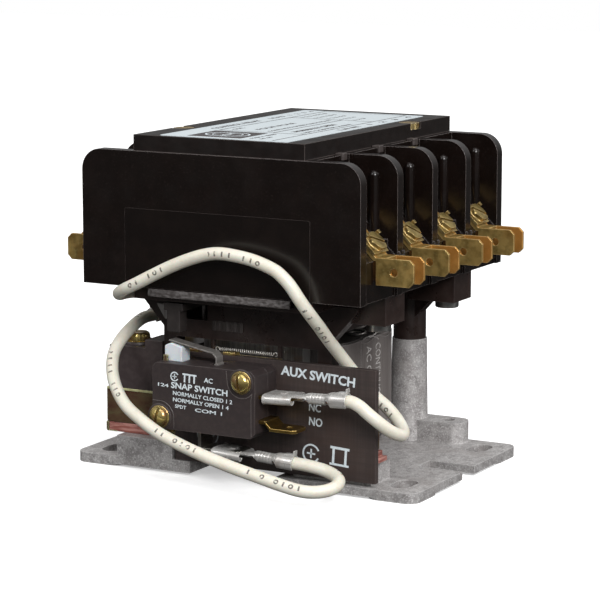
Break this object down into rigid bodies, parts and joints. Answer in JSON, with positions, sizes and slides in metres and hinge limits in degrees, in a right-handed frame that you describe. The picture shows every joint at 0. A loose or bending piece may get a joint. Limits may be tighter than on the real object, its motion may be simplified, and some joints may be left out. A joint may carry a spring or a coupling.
{
  "type": "industrial control relay",
  "caption": "Four-pole magnetic control relay on a cast base, with quick-connect terminals and a snap switch in its coil circuit.",
  "frame": {"origin": "centre of the base footprint, on the mounting plane under its feet", "axes": "+X from the line terminals to the load terminals, +Y along the row of poles away from the switch, +Z out of the mounting plane"},
  "size_m": [0.093, 0.0858, 0.0826],
  "materials": {
    "cast_aluminium": "rough as-cast, fine grain",
    "red_fibre": "pressed red-brown fibre sheet",
    "magnet_steel": "ground magnet iron",
    "bobbin_nylon": "moulded nylon",
    "copper_wire": "enamelled wire",
    "coil_tape": "dark translucent wrap",
    "bar_zinc": "steel with yellow zinc chromate",
    "terminal_block_black": "moulded phenolic",
    "zinc_yellow": "yellow zinc plated",
    "coil_brass": "stamped",
    "frame_black": "moulded phenolic, satin",
    "plated_steel": "zinc plated",
    "block_black": "moulded phenolic, glossy",
    "cover_black": "moulded phenolic, satin",
    "label_print": "printed film",
    "clip_brass": "stamped",
    "terminal_brass": "tumbled brass with dull flat faces",
    "bridge_copper": "copper bar with silver tips",
    "screw_brass": "turned",
    "contact_silver": "silver rivets",
    "carrier_black": "moulded phenolic",
    "spring_steel": "drawn wire and strip",
    "board_phenolic": "laminated phenolic sheet",
    "switch_black": "moulded phenolic",
    "white_nylon": "moulded nylon",
    "tinned_tab": "tinned brass",
    "switch_brass": "stamped",
    "tin_plate": "tin plated brass",
    "lead_jacket": "cream jacket with small printed marks"
  },
  "bodies": {
    "root": {"base_casting": "cast_aluminium", "magnet_pad": "red_fibre", "magnet_yoke": "magnet_steel", "coil_bobbin": "bobbin_nylon", "coil_winding": "copper_wire", "coil_wrap": "coil_tape", "clamp_bar": "bar_zinc", "clamp_shims": "red_fibre", "coil_terminal_block": "terminal_block_black", "coil_terminal_screws": "zinc_yellow", "coil_terminals": "coil_brass", "lower_frame": "frame_black", "post_screws": "zinc_yellow", "frame_screws": "plated_steel", "contact_block": "block_black", "arc_cover": "cover_black", "rating_label": "label_print", "cover_screws": "clip_brass", "line_terminal_1": "terminal_brass", "line_terminal_2": "terminal_brass", "line_terminal_3": "terminal_brass", "line_terminal_4": "terminal_brass", "load_terminal_1": "terminal_brass", "load_terminal_2": "terminal_brass", "load_terminal_3": "terminal_brass", "load_terminal_4": "terminal_brass", "line_clamp_screws": "screw_brass", "load_clamp_screws": "screw_brass", "line_clamp_plates": "screw_brass", "load_clamp_plates": "screw_brass", "fixed_contacts": "contact_silver", "return_springs": "spring_steel", "switch_board": "board_phenolic", "switch_bracket": "zinc_yellow", "switch_case": "switch_black", "switch_cover": "switch_black", "switch_screws": "zinc_yellow", "switch_nuts": "zinc_yellow", "switch_terminal_com": "tinned_tab", "switch_terminal_nc": "switch_brass", "switch_terminal_no": "switch_brass", "extension_spring": "spring_steel", "connector_upper": "tin_plate", "connector_lower": "tin_plate", "connector_coil_a": "tin_plate", "connector_coil_b": "tin_plate", "lead_upper": "lead_jacket", "lead_lower": "lead_jacket"},
    "armature": {"armature": "magnet_steel", "contact_carrier": "carrier_black", "contact_springs": "spring_steel"},
    "lever": {"switch_lever": "spring_steel"},
    "plunger": {"switch_plunger": "white_nylon"},
    "bridge_1": {"contact_bridge_1": "bridge_copper"},
    "bridge_2": {"contact_bridge_2": "bridge_copper"},
    "bridge_3": {"contact_bridge_3": "bridge_copper"},
    "bridge_4": {"contact_bridge_4": "bridge_copper"}
  },
  "joints": [
    {"name": "armature_slide", "type": "slide", "parent": "root", "child": "armature", "axis": [0, 0, -1], "range_m": [0, 0.003], "stiffness_N_per_m": 300, "springref_m": -0.01, "deforming": ["return_springs"]},
    {"name": "bridge_1_slide", "type": "slide", "parent": "armature", "child": "bridge_1", "axis": [0, 0, 1], "range_m": [0, 0.00041], "deforming": ["contact_springs"]},
    {"name": "bridge_2_slide", "type": "slide", "parent": "armature", "child": "bridge_2", "axis": [0, 0, 1], "range_m": [0, 0.00041]},
    {"name": "bridge_3_slide", "type": "slide", "parent": "armature", "child": "bridge_3", "axis": [0, 0, 1], "range_m": [0, 0.00041]},
    {"name": "bridge_4_slide", "type": "slide", "parent": "armature", "child": "bridge_4", "axis": [0, 0, 1], "range_m": [0, 0.00041]},
    {"name": "lever_pivot", "type": "hinge", "parent": "root", "child": "lever", "pos_m": [-0.0026, -0.03355, 0.029], "axis": [0, -1, 0], "range_deg": [0, 5.3]},
    {"name": "plunger_slide", "type": "slide", "parent": "root", "child": "plunger", "axis": [0, 0, -1], "range_m": [0, 0.00113]}
  ],
  "couplings": [
    {"joint": "bridge_1_slide", "follows": "armature_slide", "ratio": 0.1333},
    {"joint": "bridge_2_slide", "follows": "armature_slide", "ratio": 0.1333},
    {"joint": "bridge_3_slide", "follows": "armature_slide", "ratio": 0.1333},
    {"joint": "bridge_4_slide", "follows": "armature_slide", "ratio": 0.1333},
    {"joint": "lever_pivot", "follows": "armature_slide", "rad_per_m": 30.25},
    {"joint": "plunger_slide", "follows": "armature_slide", "ratio": 0.3733}
  ]
}
